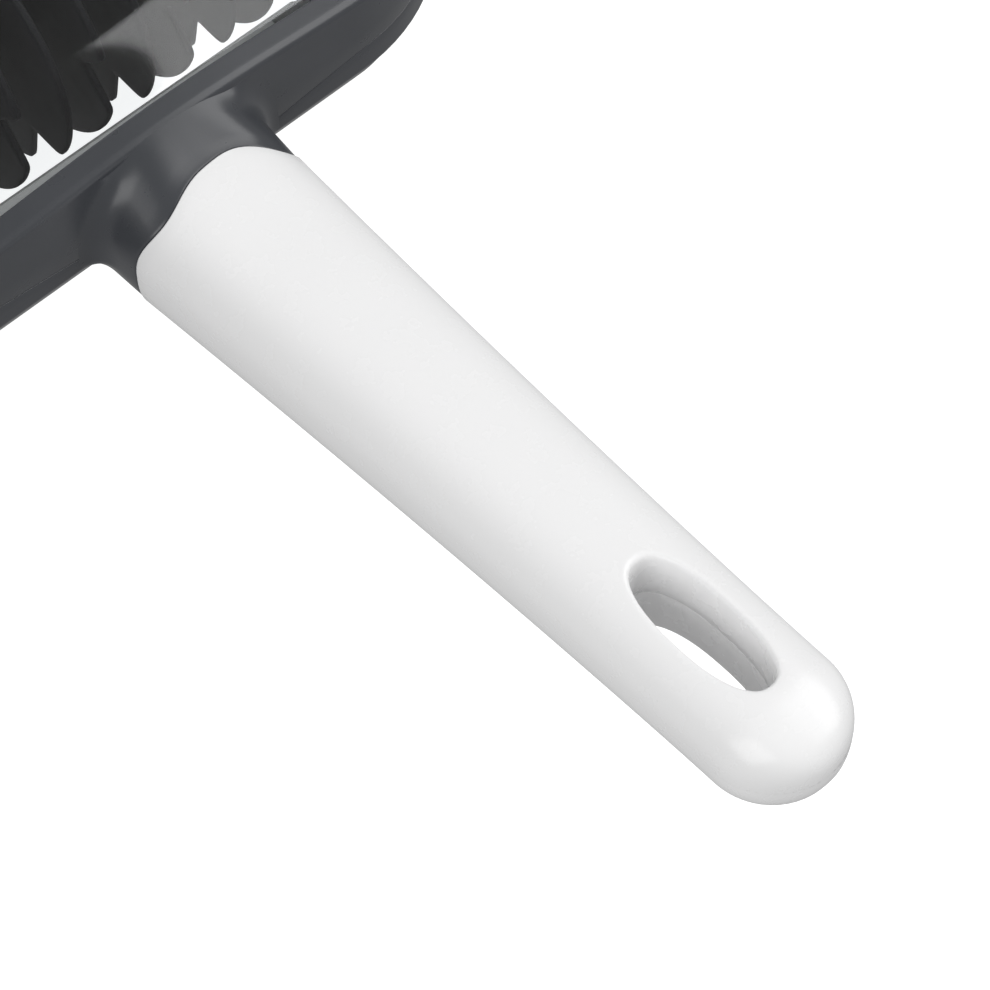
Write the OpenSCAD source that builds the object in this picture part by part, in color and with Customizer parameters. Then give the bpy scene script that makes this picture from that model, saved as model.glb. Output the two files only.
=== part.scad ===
// Hand-held carpet sweeper: a dark clamshell head with a clear window over a rotor of notched discs,
// two drop-down dust pans, four tyred wheels that drive the rotor, and a hollow white handle.
// X runs along the rotor, the handle points to -Y, +Z is up, and the wheels stand on z = 0.

/* [Head] */
// Width of the head, along the rotor
head_w = 145; // [130:1:200]
// Depth of the head, across the rotor
head_d = 97; // [94:1:120]
// Plan radius of the head's corners
corner_r = 35; // [33:1:38]
// Height of the rim round the window
rim_z = 42.4; // [41.6:0.1:50]
// Rise of the rim in the middle of the handle side
rim_peak = 2.2; // [0.5:0.1:4]
// Wall of the head shells
head_wall = 2.3; // [1.6:0.1:3]
// Width of the rim's lip
lip_w = 4.2; // [4:0.1:8]
// Thickness of the rim's lip
lip_t = 2; // [1.2:0.1:3]
// Height of the underside of the lower shell
under_z = 4; // [3:0.1:5]
// Set-in of the lower shell's underside
tuck = 10; // [8:0.5:11]
// Set-in of the flat front and rear sides at the underside
flat_tuck = 13; // [12:0.2:13.2]
// Width of the flange round the underside opening
flange_w = 4.6; // [4:0.2:6]
// Step of the parting line beside the neck
part_step = 3.5; // [1:0.5:6]

/* [Window] */
// Height of the clear window's top
window_z = 52.4; // [52:0.2:60]
// Thickness of the window
window_t = 1.6; // [1:0.1:2.2]

/* [Handle] */
// Height of the handle's parting plane
part_z = 27; // [26:0.5:30]
// Length of the neck, from the head's wall to the front edge of the white sleeve
neck_l = 7.5; // [6:0.5:20]
// Length of the handle, from the sleeve's front edge to the centre of its round end
handle_l = 118.4; // [106:0.2:180]
// Width of the handle at the sleeve
root_w = 31.1; // [30:0.5:38]
// Width of the handle at its round end
end_w = 23; // [20:0.5:28]
// Thickness of the handle at the sleeve
root_t = 26; // [24:0.5:28]
// Thickness of the handle at its round end
end_t = 18.4; // [15:0.2:22]
// Wall of the handle shells
grip_wall = 2; // [1.2:0.1:2.4]
// Length of the hanging hole
hang_l = 26.2; // [16:0.2:30]
// Width of the hanging hole
hang_w = 9.7; // [6:0.1:12]
// Distance from the round end's centre to the hanging hole's centre
hang_back = 14.1; // [12:0.1:24]

/* [Rotor] */
// Radius of the rotor's discs
rotor_r = 24.5; // [20:0.1:24.6]
// Height of the rotor's axis
rotor_z = 25; // [24.8:0.1:25.4]
// Distance from one notched disc to the next
disc_pitch = 8.4; // [6:0.1:12]
// Thickness of a disc
disc_t = 1.2; // [0.8:0.1:2]
// Place of the disc nearest to the rotor's middle
disc_phase = -2.4; // [-4:0.1:4]
// Depth of the notches in a disc's edge
notch_d = 6; // [3:0.5:9]
// Half of a notch's angle
notch_half = 34; // [20:1:45]
// Radius of the steel shaft
shaft_r = 2; // [1.5:0.1:2.5]
// Radius of the rotor's drive drums
drum_r = 16; // [14:0.5:18]

/* [Wheels] */
// Radius of a wheel over its tyre
wheel_r = 9.5; // [8.5:0.1:9.9]
// Thickness of the tyre
tyre_t = 3; // [1.5:0.1:4]
// Width of a wheel
wheel_w = 5; // [4:0.1:5.2]
// Radius of a wheel's axle
axle_r = 1.5; // [1:0.1:1.8]

/* [Pans] */
// Thickness of the pan's floor
pan_t = 1.6; // [1.2:0.1:2]
// Gap between the discs and the pan's curved lip
lip_gap = 1.3; // [1:0.1:2]
// Height of the pan's curved lip
pan_lip_z = 14.5; // [11:0.5:15]
// Radius of a pan's hinge barrel
barrel_r = 2.2; // [1.8:0.1:2.4]
// Radius of a pan's hinge pin
pin_r = 1; // [0.8:0.05:1.2]
// Length of a pan's spring
spring_l = 9; // [6:0.5:12]

/* [Fits] */
// Radial clearance of a running fit
run_fit = 0.06; // [0.02:0.01:0.09]
// Gap between a tyre and the drum that it drives
drive_gap = 0.15; // [0.1:0.05:0.3]
// Gap between parts that move past each other
move_gap = 0.8; // [0.5:0.1:1]
// Radius of a screw's shank
screw_r = 1.3; // [1:0.1:1.5]
// Radius of a screw's head
screw_head_r = 2.2; // [2:0.1:2.4]
// Height of a screw's head
screw_head_h = 1.8; // [1.4:0.1:2.2]

/* [Hidden] */
$fn = 96;
over = 0.5;

// Colours
dark_grey = [0.13, 0.13, 0.14];
white = [0.93, 0.93, 0.93];
black = [0.03, 0.03, 0.03];
steel = [0.7, 0.7, 0.72];
clear = [0.85, 0.9, 0.95, 0.3];

// Places along X: the chamber between the cheeks, then each end bay
cheek_t = 2;
bay = 23.1;
chamber_x = head_w / 2 - bay;
wheel_x = chamber_x + cheek_t + 1.8;
discs_x = chamber_x - 1.5 * move_gap;
pan_x = chamber_x - 1.25 * move_gap;

// Heights
wheel_z = wheel_r;
pan_z = under_z + 1.8;
hinge_z = pan_z + barrel_r;
flange_top = under_z + 2;
band_z = part_z - 3.1;
lip_under = rim_z - lip_t;
seat_t = 1.5;
seat_z = lip_under - seat_t;

// Places along Y, as distances from the rotor's centre
sleeve_y = head_d / 2 + neck_l;
end_y = sleeve_y + handle_l;
wheel_y = sqrt(pow(drum_r + wheel_r + drive_gap, 2) - pow(rotor_z - wheel_z, 2));
barrel_gap = 0.7;
hinge_y = head_d / 2 - tuck - flange_w - barrel_r - barrel_gap;

// Rotor
core_r = 5;
even_turn = 220.6;

// Half of the length over which the rim rises on the handle side
peak_x = 34;

// Screws
boss_r = 3.3;
frame_screw_x = head_w / 2 - 8.9;
frame_screw_y = 8.5;
frame_seat_z = 17;
boss_floor = 2;
frame_screw_top = 36;
tongue_l = 32;
tongue_x = 9;
tongue_h = 7.5;
inner_screw_y = sleeve_y + tongue_l / 2;
outer_screw_y = (sleeve_y + tongue_l + end_y - hang_back) / 2 - 6;

// Share of the way back from the round end to the sleeve, at a distance d along the handle
function back_share(d) = max(0, (end_y - d) / (end_y - sleeve_y));
// Width and thickness of the handle at a distance d from the rotor's centre
function grip_w(d) = end_w + (root_w - end_w) * pow(back_share(d), 1.6);
function grip_t(d) = end_t + (root_t - end_t) * pow(back_share(d), 1.2);

// Half of a superellipse of half-width a and height h, standing on z = 0 in the plane at -d
half_steps = 14;
power = 2 / 2.6;
function half_ring(d, a, h) = [
    for (i = [0 : half_steps])
        let (t = 180 * i / half_steps, c = cos(t), s = sin(t))
        [a * sign(c) * pow(abs(c), power), -d, h * pow(abs(s), power)]
];

// A solid through rings of the same number of points, each given in order towards -Y
module loft(rings) {
    n = len(rings[0]);
    m = len(rings);
    polyhedron(
        points = [for (r = rings) for (p = r) p],
        faces = concat(
            [[for (i = [0 : n - 1]) i]],
            [for (j = [0 : m - 2]) for (i = [0 : n - 1])
                [j * n + i, (j + 1) * n + i, (j + 1) * n + (i + 1) % n]],
            [for (j = [0 : m - 2]) for (i = [0 : n - 1])
                [j * n + i, (j + 1) * n + (i + 1) % n, j * n + (i + 1) % n]],
            [[for (i = [n - 1 : -1 : 0]) (m - 1) * n + i]]
        )
    );
}

// A profile of [inward distance, height] points swept round the head's plan
module head_sweep(profile) {
    straight_x = head_w - 2 * corner_r;
    straight_y = head_d - 2 * corner_r;
    for (side = [0, 1])
        mirror([0, side, 0])
            rotate([90, 0, 90])
                linear_extrude(straight_x, center = true)
                    polygon([for (p = profile) [head_d / 2 - p[0], p[1]]]);
    for (side = [0, 1])
        mirror([side, 0, 0])
            rotate([90, 0, 0])
                linear_extrude(straight_y, center = true)
                    polygon([for (p = profile) [head_w / 2 - p[0], p[1]]]);
    for (sx = [0, 1], sy = [0, 1])
        mirror([sx, 0, 0])
            mirror([0, sy, 0])
                translate([straight_x / 2, straight_y / 2, 0])
                    rotate_extrude(angle = 90)
                        polygon([for (p = profile) [corner_r - p[0], p[1]]]);
}

// Everything above the parting line of the head's shells
module above_parting() {
    far = head_w;
    flat_x = root_w / 2 + 7;
    slope_x = 12;
    rotate([90, 0, 0])
        linear_extrude(3 * head_d, center = true)
            polygon([
                [-far, part_z + part_step],
                [-flat_x - slope_x, part_z + part_step],
                [-flat_x, part_z],
                [flat_x, part_z],
                [flat_x + slope_x, part_z + part_step],
                [far, part_z + part_step],
                [far, 3 * rim_z],
                [-far, 3 * rim_z]
            ]);
}

// Upper or lower half of the neck, which narrows from the head's wall to the sleeve
module neck_half(wall_h, sleeve_h) {
    from = head_d / 2 - 2.1;
    sleeve_a = root_w / 2 - 0.1;
    steps = 6;
    loft([
        for (i = [0 : steps])
            let (s = i / steps, flare = pow(1 - s, 2.2))
            half_ring(
                from + (sleeve_y - from) * s,
                sleeve_a + 5.5 * flare,
                sleeve_h + (wall_h - sleeve_h) * pow(1 - s, 1.4)
            )
    ]);
}

// A cylinder of radius r standing at a point of the plan, from z0 to z1
module post(x, y, r, z0, z1) {
    translate([x, y, z0])
        cylinder(r = r, h = z1 - z0);
}

// A cylinder of radius r lying along X, from x0 to x1 at the place y, z
module bar(x0, x1, y, z, r) {
    translate([x0, y, z])
        rotate([0, 90, 0])
            cylinder(r = r, h = x1 - x0);
}

// The four places of the frame's screws, with each boss's rib towards the end wall
module frame_boss(z0, z1, rib_z0) {
    for (sx = [-1, 1], sy = [-1, 1]) {
        post(sx * frame_screw_x, sy * frame_screw_y, boss_r, z0, z1);
        translate([sx * (frame_screw_x + 3.4), sy * frame_screw_y, (rib_z0 + z1) / 2])
            cube([6.8, 1.8, z1 - rib_z0], center = true);
    }
}

module upper_frame() color(dark_grey) difference() {
    union() {
        intersection() {
            head_sweep([
                [0, part_z - 1],
                [0, rim_z - 1.7],
                [0.5, rim_z - 0.5],
                [1.7, rim_z],
                [lip_w, rim_z],
                [lip_w, lip_under],
                [head_wall, lip_under],
                [head_wall, part_z - 1]
            ]);
            above_parting();
        }
        translate([0, -head_d / 2 + lip_w, 0])
            rotate([90, 0, 0])
                linear_extrude(lip_w - 1.2)
                    polygon([
                        [-peak_x, rim_z - 0.4],
                        [peak_x, rim_z - 0.4],
                        [peak_x, rim_z],
                        [0, rim_z + rim_peak],
                        [-peak_x, rim_z]
                    ]);
        translate([0, 0, part_z])
            neck_half(rim_z + rim_peak - part_z - 0.6, root_t / 2 - 0.2);
        translate([-tongue_x, -sleeve_y - tongue_l, part_z])
            cube([2 * tongue_x, tongue_l + over, tongue_h]);
        frame_boss(part_z + part_step, seat_z, part_z + part_step);
    }
    for (sx = [-1, 1], sy = [-1, 1])
        post(sx * frame_screw_x, sy * frame_screw_y, screw_r, part_z, frame_screw_top);
    post(0, -inner_screw_y, screw_r, part_z - over, part_z + tongue_h + over);
}

// The lower shell's side leans in from the band under the parting line down to the underside
band_in = 1.2;
side_lean = (tuck - band_in) / (band_z - under_z);
side_wall = head_wall * sqrt(1 + side_lean * side_lean);
// Inward distance of the side's inner face at height z
function inner_side(z) = max(head_wall, band_in + side_wall + (band_z - z) * side_lean);
// Height at which the leaning inner face meets the upright wall
lean_top = band_z + (band_in + side_wall - head_wall) / side_lean;

// The flat front and rear sides lean in further than the corners do
flat_lean = (flat_tuck - band_in) / (band_z - under_z);
flat_wall = head_wall * sqrt(1 + flat_lean * flat_lean);
function flat_y(z) = head_d / 2 - band_in - (band_z - z) * flat_lean;

// Both flat sides, from one distance behind their outer face to another
module flat_sides(near, far, low) {
    for (side = [0, 1])
        mirror([0, side, 0])
            rotate([90, 0, 90])
                linear_extrude(head_w, center = true)
                    polygon([
                        [flat_y(band_z) - near, band_z],
                        [flat_y(low) - near, low],
                        [flat_y(low) - far, low],
                        [flat_y(band_z) - far, band_z]
                    ]);
}

module lower_frame() color(dark_grey) difference() {
    union() {
        intersection() {
            flat_sides(0, flat_wall, under_z);
            head_sweep([
                [band_in, band_z],
                [tuck, under_z],
                [tuck + 2 * flange_w, under_z],
                [tuck + 2 * flange_w, band_z]
            ]);
        }
        difference() {
            head_sweep([
                [0, part_z + part_step + 1],
                [0, band_z + band_in],
                [0.35, band_z + 0.4],
                [band_in, band_z],
                [tuck, under_z],
                [tuck + flange_w, under_z],
                [tuck + flange_w, flange_top],
                [inner_side(flange_top), flange_top],
                [head_wall, lean_top],
                [head_wall, part_z + part_step + 1]
            ]);
            above_parting();
            flat_sides(-head_d / 2, 0, under_z - 1);
        }
        translate([0, 0, part_z])
            mirror([0, 0, 1])
                neck_half(root_t / 2 + 1, root_t / 2 - 0.2);
        translate([-tongue_x, -sleeve_y - tongue_l, part_z - tongue_h])
            cube([2 * tongue_x, tongue_l + over, tongue_h]);
        frame_boss(frame_seat_z - boss_floor, part_z + part_step, band_z);
    }
    for (sx = [-1, 1], sy = [-1, 1]) {
        post(sx * frame_screw_x, sy * frame_screw_y, screw_r, under_z, part_z + part_step + over);
        post(sx * frame_screw_x, sy * frame_screw_y, screw_head_r + 0.1, under_z - over, frame_seat_z);
    }
    for (sx = [0, 1], sy = [-1, 1])
        mirror([sx, 0, 0])
            bar(wheel_x - 0.7, wheel_x + wheel_w + 1.4, sy * wheel_y, wheel_z, wheel_r + 0.8);
    translate([0, 0, under_z])
        cube([2 * chamber_x, 2 * (hinge_y + barrel_r + barrel_gap), 2 * (pan_z - under_z) + over], center = true);
    post(0, -inner_screw_y, screw_r, part_z - tongue_h - over, part_z + over);
}

// Share of the window's rise at a share s of the way in from the rim
function dome(s) = 1 - pow(1 - s, 3);

module window() color(clear) {
    rise = window_z - rim_z;
    edge_u = lip_w + 0.2;
    inner_u = edge_u + 1.8;
    steps = [0 : 0.1 : 1];
    head_sweep(concat(
        [[head_wall + 0.2, seat_z], [head_wall + 0.2, lip_under], [edge_u, lip_under]],
        [for (s = steps) [edge_u + (corner_r - edge_u) * s, rim_z + rise * dome(s)]],
        [for (s = [1 : -0.1 : -0.01])
            [inner_u + (corner_r - inner_u) * s, rim_z - window_t + rise * dome(s)]],
        [[inner_u, seat_z]]
    ));
    translate([0, 0, window_z - window_t / 2])
        cube([head_w - 2 * corner_r, head_d - 2 * corner_r, window_t], center = true);
}

// Distances of the handle's rings from the rotor's centre, and the ring at each
round_steps = 6;
function grip_rings(wall) = concat(
    [for (i = [0 : 8])
        let (d = sleeve_y + (end_y - sleeve_y) * i / 8)
        half_ring(d, grip_w(d) / 2 - wall, grip_t(d) / 2 - wall)],
    [for (i = [1 : round_steps])
        let (t = 84 * i / round_steps)
        half_ring(
            end_y + (end_w / 2 - wall) * sin(t),
            (end_w / 2 - wall) * cos(t),
            (end_t / 2 - wall) * pow(cos(t), 0.7)
        )]
);

// Outline of the hanging hole, grown by g
module hang_outline(g) {
    r = hang_w / 2 + g;
    run = (hang_l - hang_w) / 2;
    translate([0, -end_y + hang_back]) {
        square([2 * r, 2 * run], center = true);
        for (s = [-1, 1])
            translate([0, s * run])
                circle(r = r);
    }
}

// One half of the handle, standing on z = 0, with a boss for each screw from z = 0 or above
module handle_half() {
    difference() {
        loft(grip_rings(0));
        difference() {
            loft(grip_rings(grip_wall));
            linear_extrude(end_t)
                hang_outline(1.8);
            post(0, -inner_screw_y, boss_r + 0.4, tongue_h, root_t);
            post(0, -outer_screw_y, boss_r, 0, root_t);
        }
        translate([0, 0, -over])
            linear_extrude(end_t)
                hang_outline(0);
    }
}

// Depth below the parting plane at which a handle screw's head is seated
function screw_seat(d) = grip_t(d) / 2 - 2.6;

module handle_upper() color(white) difference() {
    translate([0, 0, part_z])
        handle_half();
    post(0, -inner_screw_y, screw_r, part_z, part_z + tongue_h + 2.4);
    post(0, -outer_screw_y, screw_r, part_z - over, part_z + 6);
}

module handle_lower() color(white) difference() {
    translate([0, 0, part_z])
        mirror([0, 0, 1])
            handle_half();
    for (d = [inner_screw_y, outer_screw_y]) {
        post(0, -d, screw_r, 0, part_z + over);
        post(0, -d, screw_head_r + 0.1, 0, part_z - screw_seat(d));
    }
}

// A screw with its head's seat at z0 and its tip at z1
module screw(x, y, z0, z1) color(steel) difference() {
    union() {
        post(x, y, screw_head_r, z0 - screw_head_h, z0);
        post(x, y, screw_r, z0 - over, z1);
    }
    translate([x, y, z0 - screw_head_h])
        cube([0.6, 2.6, 1.6], center = true);
    translate([x, y, z0 - screw_head_h])
        cube([2.6, 0.6, 1.6], center = true);
}

// A handle screw at a distance d from the rotor's centre, with its tip at height z1
module handle_screw(d, z1) screw(0, -d, part_z - screw_seat(d), z1);
module handle_screw_inner() handle_screw(inner_screw_y, part_z + tongue_h + 2.4);
module handle_screw_outer() handle_screw(outer_screw_y, part_z + 6);

// Frame screw number i, from 0 to 3
module frame_screw(i) {
    sx = i % 2 == 0 ? -1 : 1;
    sy = i < 2 ? -1 : 1;
    screw(sx * frame_screw_x, sy * frame_screw_y, frame_seat_z, frame_screw_top);
}

// Distance from the rotor's axis at which a cheek ends inside the leaning shell's corner, at height z
function shell_y(z) =
    head_d / 2 - corner_r - 0.5
    + sqrt(pow(corner_r - inner_side(z), 2) - pow(max(0, chamber_x + cheek_t - head_w / 2 + corner_r), 2));

// Right-hand bulkhead, which carries the rotor's bush, two axles and the hinge pins
module cheek() color(dark_grey) difference() {
    half = [
        [shell_y(flange_top), flange_top],
        [shell_y(hinge_z), hinge_z],
        [shell_y(band_z), band_z],
        [shell_y(lean_top), lean_top],
        [shell_y(lean_top), seat_z - 0.2],
        [head_d / 2 - 12, seat_z - 0.2],
        [head_d / 2 - 18.5, rim_z + 1.4],
        [head_d / 2 - 30, rim_z + 3.8]
    ];
    translate([chamber_x, 0, 0])
        rotate([90, 0, 90])
            linear_extrude(cheek_t)
                polygon(concat(half, [for (i = [len(half) - 1 : -1 : 0]) [-half[i][0], half[i][1]]]));
    bar(chamber_x - over, wheel_x, 0, rotor_z, 5);
    for (s = [-1, 1]) {
        bar(chamber_x - over, wheel_x, s * wheel_y, wheel_z, axle_r);
        bar(chamber_x - over, wheel_x, s * hinge_y, hinge_z, pin_r);
    }
}

module right_cheek() cheek();
module left_cheek() mirror([1, 0, 0]) cheek();

// Right-hand flanged bush for the rotor's shaft
module bush() color(white) difference() {
    union() {
        bar(chamber_x - 0.5, chamber_x + cheek_t, 0, rotor_z, 5);
        bar(chamber_x + cheek_t, chamber_x + cheek_t + 1, 0, rotor_z, 6.5);
    }
    bar(chamber_x - 1, wheel_x, 0, rotor_z, shaft_r + run_fit);
}

module right_bush() bush();
module left_bush() mirror([1, 0, 0]) bush();

// White panel inside the wall on the handle side, between the cheeks
liner_t = 1.4;
liner_z = 24.4;
module liner() color(white) intersection() {
    head_sweep([
        [head_wall, seat_z - 0.3],
        [head_wall, lean_top],
        [inner_side(liner_z), liner_z],
        [inner_side(liner_z) + liner_t, liner_z],
        [head_wall + liner_t, lean_top],
        [head_wall + liner_t, seat_z - 0.3]
    ]);
    translate([0, -head_d / 2, rim_z / 2])
        cube([2 * chamber_x - 0.6, head_d / 2, 2 * rim_z], center = true);
}

module rear_liner() liner();
module front_liner() mirror([0, 1, 0]) liner();

module hinge_pin() color(steel) bar(-chamber_x - cheek_t, chamber_x + cheek_t, -hinge_y, hinge_z, pin_r);
module rear_hinge_pin() hinge_pin();
module front_hinge_pin() mirror([0, 1, 0]) hinge_pin();

// Closed-wound torsion spring at the right end of the handle side's hinge pin
wire_r = 0.3;
coil_r = 1.6;
leg_l = 6;
module spring() color(steel) {
    x1 = pan_x - 0.6;
    x0 = x1 - spring_l + 0.6;
    difference() {
        bar(x0, x1, -hinge_y, hinge_z, coil_r + wire_r);
        bar(x0 - over, x1 + over, -hinge_y, hinge_z, coil_r - wire_r);
    }
    for (x = [x0 + wire_r, x1 - wire_r])
        translate([x, -hinge_y, hinge_z + coil_r])
            rotate([-90, 0, 0])
                cylinder(r = wire_r, h = leg_l);
}

module rear_spring() spring();
module front_spring() mirror([0, 1, 0]) spring();

// Stub axle at the right end of the handle side
module axle() color(steel) {
    bar(chamber_x, wheel_x + wheel_w + 0.5, -wheel_y, wheel_z, axle_r);
    bar(wheel_x + wheel_w + 0.3, wheel_x + wheel_w + 1.1, -wheel_y, wheel_z, axle_r + 1);
}

module axle_right_rear() axle();
module axle_left_rear() mirror([1, 0, 0]) axle();
module axle_right_front() mirror([0, 1, 0]) axle();
module axle_left_front() mirror([0, 1, 0]) mirror([1, 0, 0]) axle();

// One disc across X with two opposite notches in its edge, the first at the angle turn from +Y
module disc(x, turn) {
    far = notch_d + 5;
    translate([x - disc_t / 2, 0, rotor_z])
        rotate([90, 0, 90])
            linear_extrude(disc_t)
                difference() {
                    circle(r = rotor_r);
                    for (a = [turn, turn + 180])
                        rotate(a)
                            translate([rotor_r - notch_d, 0])
                                polygon([
                                    [0, 0],
                                    [far, -far * tan(notch_half)],
                                    [far, far * tan(notch_half)]
                                ]);
                }
}

// Discs fill the chamber, and each is turned by 45 degrees against its neighbours
module rotor_discs() color(black) difference() {
    union() {
        bar(-discs_x, discs_x, 0, rotor_z, core_r);
        for (i = [-12 : 12]) {
            x = disc_phase + i * disc_pitch;
            if (abs(x) < discs_x - disc_t)
                disc(x, i % 2 == 0 ? even_turn : even_turn - 45);
        }
    }
    bar(-head_w, head_w, 0, rotor_z, shaft_r);
}

module rotor_shaft() color(steel)
    bar(-wheel_x - wheel_w - 0.4, wheel_x + wheel_w + 0.4, 0, rotor_z, shaft_r);

// Right-hand drive drum with a recessed web
module drum() color(black) difference() {
    bar(wheel_x, wheel_x + wheel_w, 0, rotor_z, drum_r);
    for (x = [wheel_x - over, wheel_x + wheel_w - 1.4])
        difference() {
            bar(x, x + 1.4 + over, 0, rotor_z, drum_r - 2.5);
            bar(x - over, x + 3, 0, rotor_z, shaft_r + 2.5);
        }
    bar(0, head_w, 0, rotor_z, shaft_r);
}

module drum_right() drum();
module drum_left() mirror([1, 0, 0]) drum();

// Wheel hub and tyre at the right end of the handle side
hub_r = wheel_r - tyre_t;
module hub() color(white) difference() {
    bar(wheel_x, wheel_x + wheel_w, -wheel_y, wheel_z, hub_r);
    bar(0, head_w, -wheel_y, wheel_z, axle_r + run_fit);
    difference() {
        bar(wheel_x + wheel_w - 1, wheel_x + wheel_w + over, -wheel_y, wheel_z, hub_r - 1);
        bar(wheel_x, wheel_x + wheel_w + 1, -wheel_y, wheel_z, axle_r + 1.4);
    }
}

module tyre() color(black) translate([wheel_x, -wheel_y, wheel_z])
    rotate([0, 90, 0])
        rotate_extrude()
            polygon([
                [hub_r, 0],
                [wheel_r - 0.5, 0],
                [wheel_r, 0.5],
                [wheel_r, wheel_w - 0.5],
                [wheel_r - 0.5, wheel_w],
                [hub_r, wheel_w]
            ]);

module hub_right_rear() hub();
module hub_left_rear() mirror([1, 0, 0]) hub();
module hub_right_front() mirror([0, 1, 0]) hub();
module hub_left_front() mirror([0, 1, 0]) mirror([1, 0, 0]) hub();
module tyre_right_rear() tyre();
module tyre_left_rear() mirror([1, 0, 0]) tyre();
module tyre_right_front() mirror([0, 1, 0]) tyre();
module tyre_left_front() mirror([0, 1, 0]) mirror([1, 0, 0]) tyre();

// Dust pan on the handle side: floor, curved lip by the rotor, end walls and hinge barrel
pan_lip_r = rotor_r + lip_gap;
pan_lip_t = 1.6;
function arc_y(r, z) = sqrt(r * r - pow(rotor_z - z, 2));
module pan_outline() difference() {
    polygon([
        [-hinge_y, pan_z],
        [-hinge_y, pan_z + 6.5],
        [-arc_y(pan_lip_r, pan_lip_z) - 4, pan_lip_z],
        [0, pan_lip_z],
        [0, pan_z]
    ]);
    translate([0, rotor_z])
        circle(r = pan_lip_r);
}

module pan_trough() difference() {
    pan_outline();
    translate([0, rotor_z])
        difference() {
            translate([-head_d / 2, pan_z + pan_t - rotor_z])
                square([head_d / 2, pan_lip_z]);
            circle(r = pan_lip_r + pan_lip_t);
            translate([-hinge_y - 1, -rotor_z])
                square([1.4, rotor_z]);
        }
}

module pan() color(white) difference() {
    union() {
        rotate([90, 0, 90])
            linear_extrude(2 * pan_x, center = true)
                pan_trough();
        for (x = [-pan_x, pan_x - 1.2])
            translate([x, 0, 0])
                rotate([90, 0, 90])
                    linear_extrude(1.2)
                        pan_outline();
        bar(-pan_x, pan_x, -hinge_y, hinge_z, barrel_r);
        translate([0, -arc_y(pan_lip_r, pan_z) - 3, pan_z - 0.5])
            cube([24, 1.6, 1], center = true);
    }
    bar(-head_w, head_w, -hinge_y, hinge_z, pin_r + run_fit);
    bar(pan_x - spring_l - 0.6, pan_x + over, -hinge_y, hinge_z, coil_r + wire_r + 0.5);
    translate([pan_x - spring_l - 0.6, -hinge_y - 3, hinge_z])
        cube([spring_l + 1, 10, 12]);
}

module rear_pan() pan();
module front_pan() mirror([0, 1, 0]) pan();

upper_frame();
lower_frame();
window();
handle_upper();
handle_lower();
handle_screw_inner();
handle_screw_outer();
frame_screw(0);  // frame_screw_1
frame_screw(1);  // frame_screw_2
frame_screw(2);  // frame_screw_3
frame_screw(3);  // frame_screw_4
left_cheek();
right_cheek();
left_bush();
right_bush();
rear_liner();
front_liner();
rear_hinge_pin();
front_hinge_pin();
rear_spring();
front_spring();
axle_left_rear();
axle_right_rear();
axle_left_front();
axle_right_front();
rotor_discs();
rotor_shaft();
drum_left();
drum_right();
hub_left_rear();
hub_right_rear();
hub_left_front();
hub_right_front();
tyre_left_rear();
tyre_right_rear();
tyre_left_front();
tyre_right_front();
rear_pan();
front_pan();
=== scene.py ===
import math
import bmesh
import bpy
import numpy as np
from mathutils import Matrix, Vector


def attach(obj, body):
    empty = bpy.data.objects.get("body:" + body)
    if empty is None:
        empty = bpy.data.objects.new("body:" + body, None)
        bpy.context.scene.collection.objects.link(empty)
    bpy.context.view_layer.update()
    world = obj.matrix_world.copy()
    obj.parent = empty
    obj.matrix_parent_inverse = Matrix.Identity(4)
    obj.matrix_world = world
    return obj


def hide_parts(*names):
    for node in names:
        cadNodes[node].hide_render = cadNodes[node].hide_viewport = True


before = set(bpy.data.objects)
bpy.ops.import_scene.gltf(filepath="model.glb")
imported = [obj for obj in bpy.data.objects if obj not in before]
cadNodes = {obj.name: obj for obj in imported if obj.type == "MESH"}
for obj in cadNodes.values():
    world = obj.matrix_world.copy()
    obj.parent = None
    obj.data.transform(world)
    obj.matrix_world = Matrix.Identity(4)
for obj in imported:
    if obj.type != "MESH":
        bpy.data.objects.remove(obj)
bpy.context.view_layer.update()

mm = 0.001  # every shape below is worked out in millimetres

camera = {
    "place": (-0.18492, -0.31654, 0.44492),
    "azimuth": -43.057,
    "elevation": 57.42,
    "lens": 125.5,
}


def makeCamera(c):
    data = bpy.data.cameras.new("camera")
    data.lens = c["lens"]
    data.sensor_width = 36
    data.clip_start = 0.01
    data.clip_end = 20
    obj = bpy.data.objects.new("camera", data)
    obj.location = c["place"]
    obj.rotation_euler = (math.radians(90 - c["elevation"]), 0, math.radians(c["azimuth"]))
    bpy.context.scene.collection.objects.link(obj)
    bpy.context.scene.camera = obj


makeCamera(camera)
print("camera set")


def gridFaces(rows, cols, loopRows=False, loopCols=False):
    # faces of a rows x cols grid: corner (i, j), (i, j+1), (i+1, j+1), (i+1, j), wrapping where it loops
    i = np.arange(rows if loopRows else rows - 1)
    j = np.arange(cols if loopCols else cols - 1)
    i, j = np.meshgrid(i, j, indexing="ij")
    i, j = i.ravel(), j.ravel()
    i2, j2 = (i + 1) % rows, (j + 1) % cols
    return np.stack([i * cols + j, i * cols + j2, i2 * cols + j2, i2 * cols + j], 1)


def joinParts(parts):
    # parts are (points, faces) pairs; the face numbers of each are moved on by the points before it
    verts, faces, start = [], [], 0
    for p, f in parts:
        verts.append(p.reshape(-1, 3))
        faces += [tuple(v + start for v in q) for q in (f.tolist() if isinstance(f, np.ndarray) else f)]
        start += len(verts[-1])
    return np.concatenate(verts), faces


def cleanMesh(mesh, merge):
    # welds points closer than merge mm, drops faces without area and turns all faces outwards
    bm = bmesh.new()
    bm.from_mesh(mesh)
    bmesh.ops.remove_doubles(bm, verts=bm.verts, dist=merge * mm)
    bmesh.ops.dissolve_degenerate(bm, edges=bm.edges, dist=merge * mm * 0.5)
    bmesh.ops.recalc_face_normals(bm, faces=bm.faces)
    bm.to_mesh(mesh)
    bm.free()


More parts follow.
